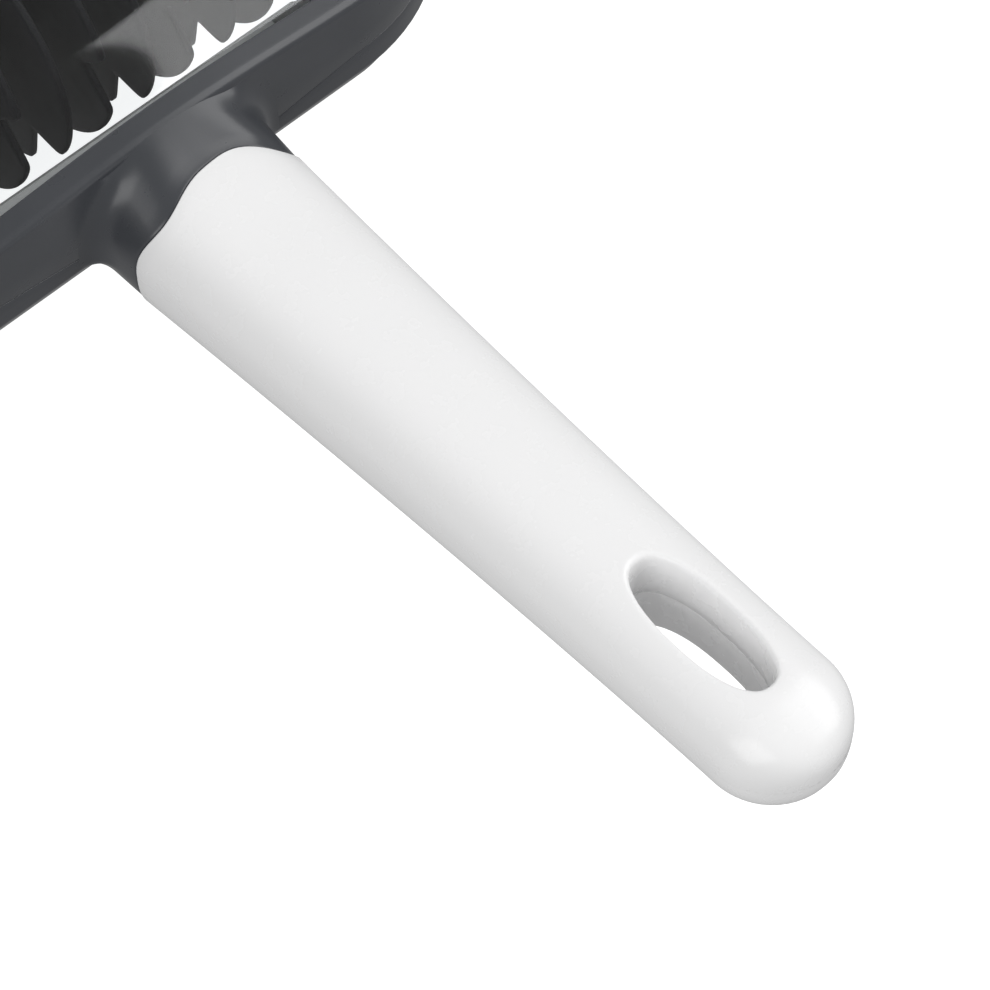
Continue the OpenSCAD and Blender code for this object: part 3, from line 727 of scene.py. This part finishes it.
def neckHalf(top):
    # straight lines from the sleeve's ring towards the root's outline on the wall, then a fillet:
    # (1-t)^2 m + 2 t (1-t) root + t^2 foot, the foot lying one fillet out along the wall
    cols = 97
    turn = np.linspace(0, np.pi, cols)
    c, s = np.cos(turn), np.sin(turn)
    c[np.abs(c) < 1e-9] = 0
    s[np.abs(s) < 1e-9] = 0
    e = 2 / neck["rootPower"]
    rootX = neck["rootHalf"] * np.sign(c) * np.abs(c) ** e
    reach = neck["topReach"] if top else neck["bottomReach"]
    rootW = reach * s ** e
    # outward direction of the outline in (x, walk)
    g = np.stack([np.sign(c) * np.abs(c) ** (2 - e) / neck["rootHalf"], np.abs(s) ** (2 - e) / reach], 1)
    g /= np.linalg.norm(g, axis=1, keepdims=True)
    size = neck["fillet"] + (neck["topFillet"] - neck["fillet"]) * smoothStep((s - 0.75) / 0.25)
    root = wallPoint(rootX, rootW, top)
    foot = wallPoint(rootX + g[:, 0] * size, rootW + g[:, 1] * size, top)
    sunk = foot - [0, -0.5, 0]
    edge = sleeveEdge(turn, top)
    flip = np.array([1, 1, 1 if top else -1])

    def ring(v, inset):
        return gripSurface(turn, v, inset) * flip + [0, 0, head["parting"]]

    deep = neck["groove"]
    rows = [ring(edge + 5, 2.2), ring(edge + 4.6, deep), ring(edge + 0.3, deep),
        ring(edge - 0.02, deep - 0.04)]
    rows += [ring(edge - 0.12, 0.5), ring(edge - 0.24, 0.32), ring(edge - 0.42, 0.24)]
    start = ring(edge - 0.7, neck["gap"])
    rows.append(start)
    way = root - start
    length = np.linalg.norm(way, axis=1, keepdims=True)
    near = root - way / length * np.minimum(size[:, None], length * 0.72)
    for t in (0.33, 0.66):
        rows.append(start + (near - start) * t)
    for t in np.linspace(0, 1, 15):
        rows.append((1 - t) ** 2 * near + 2 * t * (1 - t) * root + t * t * foot)
    rows.append(sunk)
    middle = sunk.copy()
    middle[:] = [0, -head["depth"] / 2 + 1.2, head["parting"]]
    rows.append(middle)
    grid = np.stack(rows)
    flat = grid.copy()
    flat[..., 2] = head["parting"]
    back = np.stack([grid[0], flat[0]])
    return [(g, gridFaces(len(g), cols)) for g in (grid, flat, back)]


grey = finish["frameGrey"]
topParts = [upperSweep()] + neckHalf(True)
makePiece("upperFrame", topParts, grey, "head", ["upper_frame"], sharp=50)
lowerFrame = makePiece("lowerFrame", [lowerSweep()], grey, "head", ["lower_frame"], sharp=50)


def joinMesh(obj, parts):
    # adds closed (points, faces) parts to a piece
    verts, faces = joinParts(parts)
    mesh = bpy.data.meshes.new("extra")
    mesh.from_pydata((verts * mm).tolist(), [], faces)
    cleanMesh(mesh, 0.002)
    mesh.polygons.foreach_set("use_smooth", np.ones(len(mesh.polygons), dtype=bool))
    bm = bmesh.new()
    bm.from_mesh(obj.data)
    bm.from_mesh(mesh)
    bm.to_mesh(obj.data)
    bm.free()
    bpy.data.meshes.remove(mesh)
    obj.data.set_sharp_from_angle(angle=math.radians(45))


wheelWell = {
    "from": 52.5,
    "long": 7.1,
    "radius": 10.3,
    "y": 20.437,
    "z": 9.5,
    "openTop": 6.05,  # top of the cut for the underside's opening
}
boss = {
    "from": 2.0,
    "low": 15.0,
    "seat": 17.0,
    "top": 28.6,
    "radius": 3.3,
    "hole": 2.3,
    "bore": 1.3,
    "round": 0.2,
}


def frameCuts(well, sleeve):
    # the underside's opening, the wheels' wells, and the way in for the four screws
    low, reach, gap = sleeve["from"], head["chamber"], head["panGap"]
    cuts = [boxShape((-reach, -gap, low), (reach, gap, well["openTop"]))]
    wide, far = well["radius"], well["long"]
    bore, seat = sleeve["hole"], sleeve["seat"]
    hole = [(low, 0), (low, bore), (seat, bore), (seat, 0)]
    for sx in (-1, 1):
        for sy in (-1, 1):
            line = [(0, 0), (0, wide), (far, wide), (far, 0)]
            cuts.append(lathe(line, sx * well["from"], sy * well["y"], well["z"], 72, sx))
            cuts.append(latheUp(hole, sx * head["screwX"], sy * head["screwY"], 40))
    return cuts


def frameBosses(c):
    # a sleeve for each screw: (height, radius) round the hole, up to the seat and on round the shank
    line = [(c["low"], c["hole"]), (c["low"], c["radius"] - c["round"]),
        (c["low"] + c["round"], c["radius"])]
    line += [(c["top"], c["radius"]), (c["top"], c["bore"]), (c["seat"], c["bore"])]
    line += [(c["seat"], c["hole"]), (c["low"], c["hole"])]
    places = [(sx, sy) for sx in (-1, 1) for sy in (-1, 1)]
    return [latheUp(line, sx * head["screwX"], sy * head["screwY"], 32) for sx, sy in places]


carveMesh(lowerFrame, frameCuts(wheelWell, boss))
joinMesh(lowerFrame, neckHalf(False) + frameBosses(boss))
print("frame made")

windowPane = {"top": 52.4, "thick": 1.6, "edge": 4.4, "seat": 38.9}


def makeWindow(c):
    # inward u = edge + (corner - edge) s, height = start + (top - start) (1 - (1-s)^3), s from 0 to 1
    x, y = pathPoints[:, 0], pathPoints[:, 1]
    start = head["rim"] + rimRise(x, y) - 0.14
    s = np.linspace(0, 1, 30)
    rows = [(c["edge"] - 1.85, c["seat"]), (c["edge"] - 1.85, head["rim"] - 2.1),
        (c["edge"] - 0.05, head["rim"] - 2.1), (c["edge"] - 0.05, start - 0.2)]
    rows += [(c["edge"] + 0.01 + (head["corner"] - c["edge"]) * k,
        start + (c["top"] - start) * (1 - (1 - k) ** 3)) for k in s]
    outer = sweepRows(rows)
    inEdge = c["edge"] + 1.6
    rows = [(inEdge + (head["corner"] - inEdge) * k + 0.01,
        start - c["thick"] + (c["top"] - start) * (1 - (1 - k) ** 3)) for k in s[::-1]]
    rows += [(inEdge, c["seat"])]
    inner = sweepRows(rows)
    n = outer.shape[1]
    base = len(outer) * n
    grid = np.concatenate([outer, inner])
    faces = gridFaces(len(outer), n, loopCols=True)
    faces2 = gridFaces(len(inner), n, loopCols=True) + base
    close = gridFaces(2, n, loopCols=True)
    ring = np.stack([inner[-1], outer[0]])
    top = [tuple(range(base - n, base))]
    low = [tuple(range(base, base + n))]
    sides = [tuple(q) for q in faces.tolist() + faces2.tolist()]
    return [(grid, sides + top + low), (ring, close)]


pane = makeWindow(windowPane)
makePiece("windowDome", pane, finish["clearWindow"], "head", ["window"], sharp=40)
print("window made")

rotor = {
    "radius": 24.5,
    "height": 25.0,
    "pitch": 8.4,
    "thick": 1.2,
    "phase": -2.4,
    "notch": 6.0,
    "notchHalf": 34.0,
    "notchLower": 61.0,  # the flank on the trailing side leans further over
    "firstNotch": 220.6,
    "tipRound": 1.3,  # degrees over which the corners are rounded
    "core": 5.0,
    "halfLength": 48.2,
}


def discEdge(c, steps=300):
    # radius by angle: the disc's own, or in a notch low sin h / sin(h - off), the straight flank from
    # its bottom; then a Gaussian blur
    a = np.linspace(0, 2 * np.pi, steps, endpoint=False)
    off = (a + np.pi / 2) % np.pi - np.pi / 2  # angle from the nearest of two opposite notches
    near = np.abs(off)
    h = np.radians(np.where(off > 0, c["notchLower"], c["notchHalf"]))
    low = c["radius"] - c["notch"]
    flank = low * np.sin(h) / np.maximum(np.sin(h - near), 1e-3)
    r = np.where(near < h, np.minimum(flank, c["radius"]), c["radius"])
    d = np.minimum(a, 2 * np.pi - a)
    blur = np.exp(-0.5 * (d / math.radians(c["tipRound"])) ** 2)
    r = np.real(np.fft.ifft(np.fft.fft(r) * np.fft.fft(blur / blur.sum())))
    return a, np.minimum(r, c["radius"])


def makeDisc(c, x, turn):
    # rows of (radius + dr, x + dx) round the edge: rounded rim, flat sides down to the core
    a, r = discEdge(c)
    h = c["thick"] / 2
    steps = [(-4.9, h), (-2.0, h), (-0.45, h), (-0.2, h - 0.06), (-0.05, h - 0.18), (0, h - 0.34)]
    steps = steps + [(dr, -dx) for dr, dx in steps[::-1]]
    rows = []
    for k, (dr, dx) in enumerate(steps):
        rr = np.full_like(r, c["core"] - 0.1) if k in (0, len(steps) - 1) else r + dr
        ang = a + math.radians(turn)
        y, z = rr * np.cos(ang), c["height"] + rr * np.sin(ang)
        rows.append(np.stack([np.full_like(a, x + dx), y, z], 1))
    grid = np.stack(rows)
    return grid, gridFaces(len(grid), len(a), loopCols=True)


def makeRotor(c):
    # a disc every pitch from the phase, each turned 45 degrees from the one before it, on a hollow core
    parts = []
    for k in range(-12, 13):
        x = c["phase"] + k * c["pitch"]
        if abs(x) < c["halfLength"] - c["thick"]:
            parts.append(makeDisc(c, x, c["firstNotch"] - (45 if k % 2 else 0)))
    e, r = c["halfLength"], c["core"]
    core = [(-e, 2.05), (-e, r - 0.4), (-e + 0.4, r), (e - 0.4, r), (e, r - 0.4), (e, 2.05), (-e, 2.05)]
    parts.append(lathe(core, 0, 0, c["height"], 48))
    return parts


discs = makeRotor(rotor)
makePiece("rotorDiscs", discs, finish["rotorBlack"], "rotor", ["rotor_discs"], sharp=50)
print("rotor made")

liner = {"top": 38.6, "knee": 27.1, "low": 24.4, "thick": 1.4, "half": 49.1}


def wallAt(x, u):
    # distance from the rotor's plane of a line u inside the head's outline:
    # depth/2 - u on the straight, then sy + sqrt((r-u)^2 - (|x|-sx)^2) in the corner
    sx, sy = head["width"] / 2 - head["corner"], head["depth"] / 2 - head["corner"]
    over = np.maximum(np.abs(x) - sx, 0)
    return sy + np.sqrt((head["corner"] - u) ** 2 - over ** 2)


def makeLiner(c, side):
    # a closed profile carried along the inside of the wall, with ends one radius round
    low = leanAt(c["low"])
    w, t = head["wall"] + 0.04, c["thick"]
    profile = [(w, c["top"]), (w, (c["top"] + c["knee"]) / 2), (w + 0.02, c["knee"] + 0.3),
        (w + 0.3, c["knee"] - 0.5)]
    profile += [(w + (low - w) * k, c["knee"] + (c["low"] - c["knee"]) * k) for k in (0.25, 0.5, 0.75, 1.0)]
    profile += [(low + t * 0.5, c["low"] - 0.35), (low + t, c["low"])]
    profile += [(w + t + (low - w) * k, c["knee"] + (c["low"] - c["knee"]) * k) for k in (0.75, 0.5, 0.25)]
    profile += [(w + t + 0.3, c["knee"] - 0.5), (w + t + 0.02, c["knee"] + 0.3),
        (w + t, (c["top"] + c["knee"]) / 2), (w + t, c["top"] - 0.2), (w + t - 0.2, c["top"])]
    p = np.array(profile)
    x = np.linspace(-c["half"], c["half"], 90)
    rows = []
    for across in x:
        y = wallAt(across, p[:, 0])
        rows.append(np.stack([np.full(len(p), across), side * y, p[:, 1]], 1))
    grid = np.stack(rows)
    n = len(p)
    faces = [tuple(q) for q in gridFaces(len(x), n, loopCols=True).tolist()]
    return [(grid, faces + [tuple(range(n)), tuple(range((len(x) - 1) * n, len(x) * n))])]


for side, name in ((-1, "rear"), (1, "front")):
    sheet = makeLiner(liner, side)
    makePiece(name + "Liner", sheet, finish["panWhite"], "head", [name + "_liner"], sharp=45)
print("liners made")


def refineNode(node, name, material, body, bevel):
    # a merged copy of a CAD piece with its flat faces joined and every hard edge rounded
    mesh = cadNodes[node].data.copy()
    mesh.name = name
    bm = bmesh.new()
    bm.from_mesh(mesh)
    bmesh.ops.remove_doubles(bm, verts=bm.verts, dist=1e-6)
    bmesh.ops.dissolve_limit(bm, angle_limit=math.radians(1.5), verts=bm.verts, edges=bm.edges)
    bm.to_mesh(mesh)
    bm.free()
    for layer in list(mesh.color_attributes):
        mesh.color_attributes.remove(layer)
    mesh.materials.clear()
    mesh.materials.append(material)
    mesh.polygons.foreach_set("use_smooth", np.ones(len(mesh.polygons), dtype=bool))
    mesh.set_sharp_from_angle(angle=math.radians(30))
    obj = bpy.data.objects.new(name, mesh)
    bpy.context.scene.collection.objects.link(obj)
    mod = obj.modifiers.new("round", "BEVEL")
    mod.width = bevel * mm
    mod.segments = 2
    mod.limit_method = "ANGLE"
    mod.angle_limit = math.radians(35)
    mod.use_clamp_overlap = True
    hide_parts(node)
    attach(obj, body)
    return obj


for side in ("rear", "front"):
    refineNode(side + "_pan", side + "Pan", finish["panWhite"], side + "_pan", 0.22)
for side in ("left", "right"):
    refineNode(side + "_cheek", side + "Cheek", finish["frameGrey"], "head", 0.2)
print("pans and cheeks made")

running = {
    "shaft": 2.0,
    "shaftHalf": 58.6,
    "drumFrom": 53.2,
    "drumWide": 5.0,
    "drum": 16.0,
    "wheel": 9.5,
    "hub": 6.5,
    "wheelY": 20.437,
    "axle": 1.5,
    "clear": 0.06,
    "pin": 1.0,
    "pinHalf": 51.4,
    "pinY": 31.0,
    "pinZ": 8.0,
    "coil": 1.6,
    "wire": 0.3,
    "coilFrom": 39.4,
    "coilTo": 47.8,
}


def makeTyre(c):
    # a rounded tread with three grooves, its bore on the hub: (along, radius) all the way round
    w, r, h = c["drumWide"], c["wheel"], c["hub"]
    out = [(0, h), (0, r - 0.9), (0.12, r - 0.45), (0.45, r - 0.12), (0.8, r)]
    for g in (1.35, 2.5, 3.65):
        out += [(g - 0.28, r), (g - 0.2, r - 0.35), (g + 0.2, r - 0.35), (g + 0.28, r)]
    out += [(w - 0.8, r), (w - 0.45, r - 0.12), (w - 0.12, r - 0.45), (w, r - 0.9), (w, h), (0, h)]
    return out


def makeHub(c):
    # (along, radius) round the hub: its rim, the dished outer face and the collar round the bore
    w, r, b = c["drumWide"], c["hub"], c["axle"] + c["clear"]
    rim = [(0, b), (0, r - 0.3), (0.02, r - 0.02), (w - 0.02, r - 0.02), (w, r - 0.25), (w, r - 0.9)]
    dish = [(w - 0.15, r - 1.05), (w - 0.95, r - 1.25), (w - 1.0, r - 1.6), (w - 1.0, b + 1.9)]
    return rim + dish + [(w - 0.9, b + 1.5), (w - 0.2, b + 1.35), (w, b + 1.15), (w, b), (0, b)]


def makeDrum(c):
    # (along, radius) round the drum: two dished sides and five fine grooves round the rim
    w, r, b = c["drumWide"], c["drum"], c["shaft"]
    side = [(r - 0.25, 0.0), (r - 2.2, 0.0), (r - 2.5, 0.3), (r - 2.7, 1.3), (r - 3.0, 1.4),
        (b + 2.9, 1.4), (b + 2.6, 1.2), (b + 2.4, 0.15), (b + 2.2, 0.0), (b, 0.0)]
    out = [(d, q) for q, d in side[::-1]] + [(0.25, r)]
    for g in np.linspace(0.7, w - 0.7, 5):
        out += [(g - 0.12, r), (g, r - 0.14), (g + 0.12, r)]
    out += [(w - 0.25, r)] + [(w - d, q) for q, d in side] + [(0, b)]
    return out


def coilPath(c, sy):
    # a helix: (x0 + (x1 - x0) t, y + r cos(2 pi n t), z + r sin(2 pi n t)), with a straight leg at each end
    n = 13.0
    t = np.linspace(0, 1, int(n * 20))
    a = 2 * np.pi * n * t + np.pi / 2
    x = c["coilFrom"] + 0.3 + (c["coilTo"] - c["coilFrom"] - 0.6) * t
    p = np.stack([x, np.cos(a) * c["coil"], np.sin(a) * c["coil"]], 1)
    leg = np.linspace(5.6, 0.3, 10)[:, None]
    first = p[0] + leg * [0, 1, 0]
    last = p[-1] + leg[::-1] * [0, 1, 0]
    p = np.concatenate([first, p, last])
    return p * [1, -sy, 1] + [0, sy * c["pinY"], c["pinZ"]]


def sweepTube(path, radius, steps=8):
    # rings of the given radius round the path, square to its direction, with closed ends
    way = np.gradient(path, axis=0)
    way /= np.linalg.norm(way, axis=1, keepdims=True)
    side = np.cross(way, [1.0, 0.02, 0.03])
    side /= np.linalg.norm(side, axis=1, keepdims=True)
    up = np.cross(way, side)
    a = np.linspace(0, 2 * np.pi, steps, endpoint=False)
    rings = path[:, None] + radius * (side[:, None] * np.cos(a)[:, None] + up[:, None] * np.sin(a)[:, None])
    n = len(path)
    faces = [tuple(q) for q in gridFaces(n, steps, loopCols=True).tolist()]
    return rings, faces + [tuple(range(steps)), tuple(range((n - 1) * steps, n * steps))]


def shaftLine(c):
    # (along, radius) of a rod with a ring groove near each end and chamfered tips
    e, r = c["shaftHalf"], c["shaft"]
    groove = r - 0.1
    half = [(e - 1.6, r), (e - 1.5, groove), (e - 1.1, groove), (e - 1.0, r), (e - 0.4, r), (e, 1.6),
        (e, 0)]
    return [(-x, q) for x, q in half[::-1]] + half


def bushLine(c):
    # a flanged sleeve: (along, radius) from its inner end out to the flange and back through the bore
    bore = c["shaft"] + c["clear"]
    line = [(-0.5, bore), (-0.5, 4.6), (-0.1, 5.0), (2.0, 5.0), (2.0, 6.2), (2.15, 6.45), (2.7, 6.5),
        (3.0, 6.2)]
    return line + [(3.0, 3.2), (2.8, 2.9), (2.8, bore + 0.15), (2.7, bore), (-0.5, bore)]


def axleLine(c):
    # (along, radius) of a rod with a domed head at its outer end
    r = c["axle"]
    line = [(0, 0), (0, r), (9.1, r), (9.12, 2.2), (9.2, 2.45), (9.5, 2.4)]
    return line + [(9.8, 1.9), (9.9, 1.1), (9.9, 0)]


def pinLine(c):
    # a rod with chamfered ends: (along, radius)
    h, r = c["pinHalf"], c["pin"]
    return [(-h, 0), (-h, 0.75), (-h + 0.25, r), (h - 0.25, r), (h, 0.75), (h, 0)]


def makeRunningGear(c):
    # each line above turned about its own axis; the left side's lines run towards -X
    rotorZ, out = rotor["height"], c["drumFrom"]
    rod = lathe(shaftLine(c), 0, 0, rotorZ, 32)
    makePiece("rotorShaft", [rod], finish["steel"], "rotor", ["rotor_shaft"])
    for name, sx in (("left", -1), ("right", 1)):
        drum = lathe(makeDrum(c), sx * out, 0, rotorZ, 96, sx)
        makePiece(name + "Drum", [drum], finish["drumRubber"], "rotor", ["drum_" + name])
        bush = lathe(bushLine(c), sx * head["chamber"], 0, rotorZ, 48, sx)
        makePiece(name + "Bush", [bush], finish["bushWhite"], "head", [name + "_bush"])
        for end, sy in (("rear", -1), ("front", 1)):
            corner = name + "_" + end
            y, z = sy * c["wheelY"], c["wheel"]
            body = "wheel_" + corner
            tyre = lathe(makeTyre(c), sx * out, y, z, 72, sx)
            makePiece("tyre." + corner, [tyre], finish["tyreRubber"], body, ["tyre_" + corner])
            hub = lathe(makeHub(c), sx * out, y, z, 56, sx)
            makePiece("hub." + corner, [hub], finish["hubGrey"], body, ["hub_" + corner])
            axle = lathe(axleLine(c), sx * head["chamber"], y, z, 32, sx)
            makePiece("axle." + corner, [axle], finish["steel"], "head", ["axle_" + corner])
    for end, sy in (("rear", -1), ("front", 1)):
        pin = lathe(pinLine(c), 0, sy * c["pinY"], c["pinZ"], 24)
        makePiece(end + "HingePin", [pin], finish["steel"], "head", [end + "_hinge_pin"])
        coil = sweepTube(coilPath(c, sy), c["wire"])
        makePiece(end + "Spring", [coil], finish["steel"], "head", [end + "_spring"], sharp=60)


makeRunningGear(running)
print("running gear made")

screw = {
    "shank": 1.3,
    "head": 2.2,
    "headHigh": 1.8,
    "slotWide": 0.62,
    "slotLong": 2.5,
    "slotDeep": 0.85,
    "frameTip": 36.0,
    "handleTips": (36.9, 33.0),
    "wayIn": 2.3,
    "handleSkin": 2.6,
}


def makeScrew(c, name, x, y, seat, tip):
    # (height, radius) turned upright: a domed head under the seat, a threaded shank, a point at the tip
    h, r, k = c["headHigh"], c["head"], c["shank"]
    line = [(seat - h, 0), (seat - h, r * 0.62), (seat - h + 0.12, r * 0.8), (seat - h + 0.4, r * 0.94),
        (seat - h + 0.85, r), (seat - 0.15, r), (seat, r - 0.15), (seat, k)]
    # the thread: its radius dips between the turns
    for z in np.arange(seat + 0.5, tip - 1.4, 0.9):
        line += [(z, k), (z + 0.3, k - 0.22), (z + 0.45, k - 0.22), (z + 0.75, k)]
    line += [(tip - 1.2, k), (tip, 0.25), (tip, 0)]
    obj = makePiece(name, [latheUp(line, x, y, 36)], finish["steel"], "head", [name], sharp=40)
    z0, z1, w, l = seat - h - 0.5, seat - h + c["slotDeep"], c["slotWide"] / 2, c["slotLong"] / 2
    carveMesh(obj, [boxShape((x - w, y - l, z0), (x + w, y + l, z1)),
        boxShape((x - l, y - w, z0), (x + l, y + w, z1))])


for k, (sx, sy) in enumerate(((-1, -1), (1, -1), (-1, 1), (1, 1))):
    x, y = sx * head["screwX"], sy * head["screwY"]
    makeScrew(screw, "frame_screw_%d" % (k + 1), x, y, head["screwSeat"], screw["frameTip"])


def screwSeat(d):
    # parting - (half the grip's height - the skin under the head)
    return float(handle["parting"] - (gripHeight(d) / 2 - screw["handleSkin"]))


handleScrews = zip(("handle_screw_inner", "handle_screw_outer"), handle["screwPlaces"], screw["handleTips"])
for name, d, tip in handleScrews:
    seat, wide = screwSeat(d), screw["wayIn"]
    makeScrew(screw, name, 0, -d, seat, tip)
    bore = [(0.0, 0), (0.0, wide), (seat, wide), (seat, 0)]
    carveMesh(handleLower, [latheUp(bore, 0, -d, 48)])
print("screws made")
